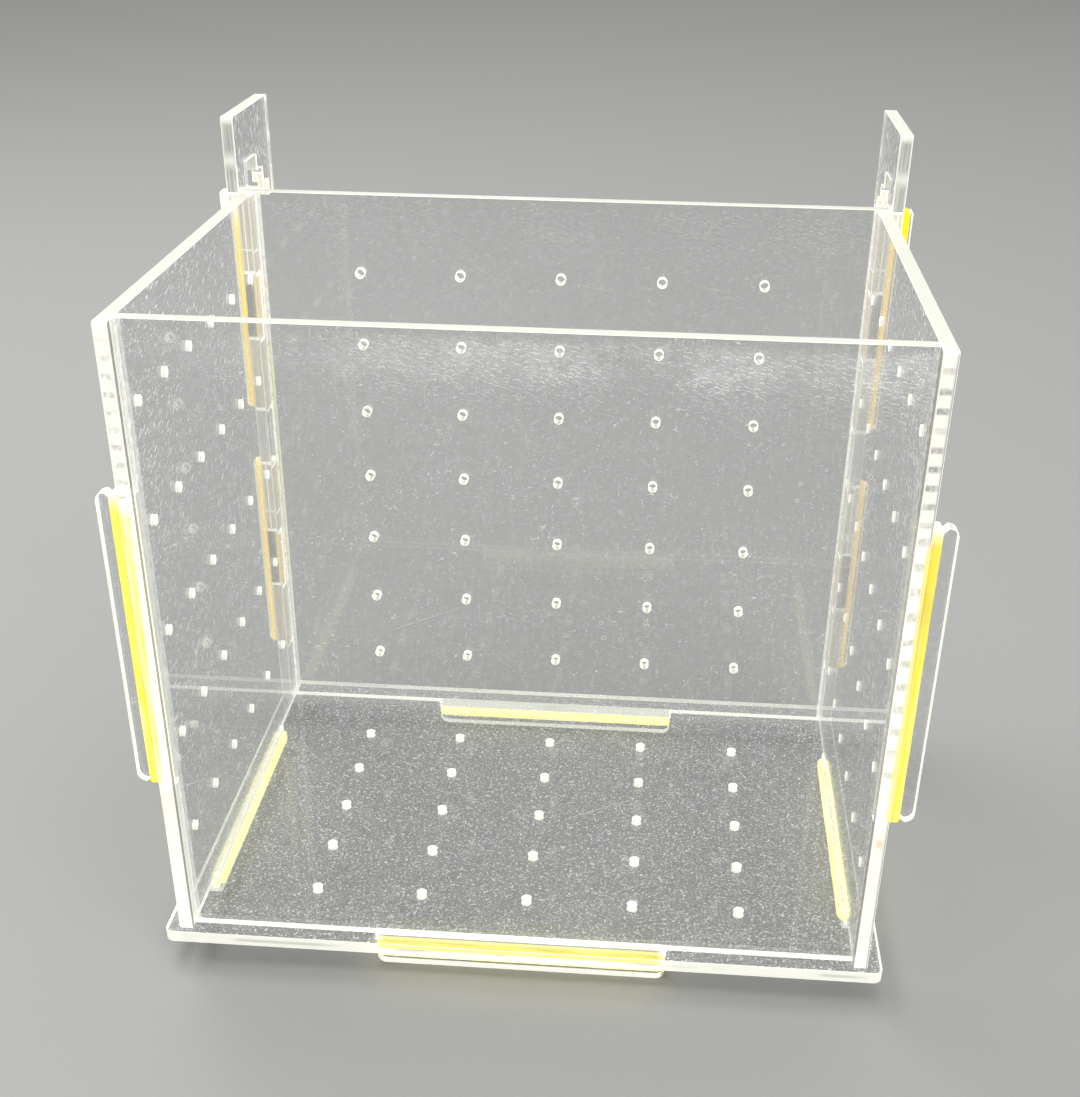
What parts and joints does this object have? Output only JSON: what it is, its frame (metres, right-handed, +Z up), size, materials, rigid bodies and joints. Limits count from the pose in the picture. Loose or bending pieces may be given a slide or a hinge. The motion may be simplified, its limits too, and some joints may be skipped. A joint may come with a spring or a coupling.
{
  "type": "hang-on fish breeding box",
  "caption": "Clear acrylic box with perforated walls and floor, held by tabs and rubber bands, with two stepped hooks that hang it inside an aquarium.",
  "frame": {"origin": "middle of the whole part's footprint, on the surface that its four feet stand on", "axes": "+X to the right across the box and +Y from the front panel to the hooks at the back, +Z up"},
  "size_m": [0.167, 0.1376, 0.168],
  "materials": {
    "clear_acrylic": "gloss",
    "hook_acrylic": "gloss",
    "rubber_band": "satin"
  },
  "bodies": {
    "root": {"front_panel": "clear_acrylic", "back_panel": "clear_acrylic", "left_panel": "clear_acrylic", "right_panel": "clear_acrylic", "bottom_plate": "clear_acrylic", "left_hook": "hook_acrylic", "right_hook": "hook_acrylic", "band_front_left": "rubber_band", "band_front_right": "rubber_band", "band_back_left_upper": "rubber_band", "band_back_left_lower": "rubber_band", "band_back_right_upper": "rubber_band", "band_back_right_lower": "rubber_band", "band_foot_front": "rubber_band", "band_foot_back": "rubber_band", "band_foot_left": "rubber_band", "band_foot_right": "rubber_band"}
  },
  "joints": []
}
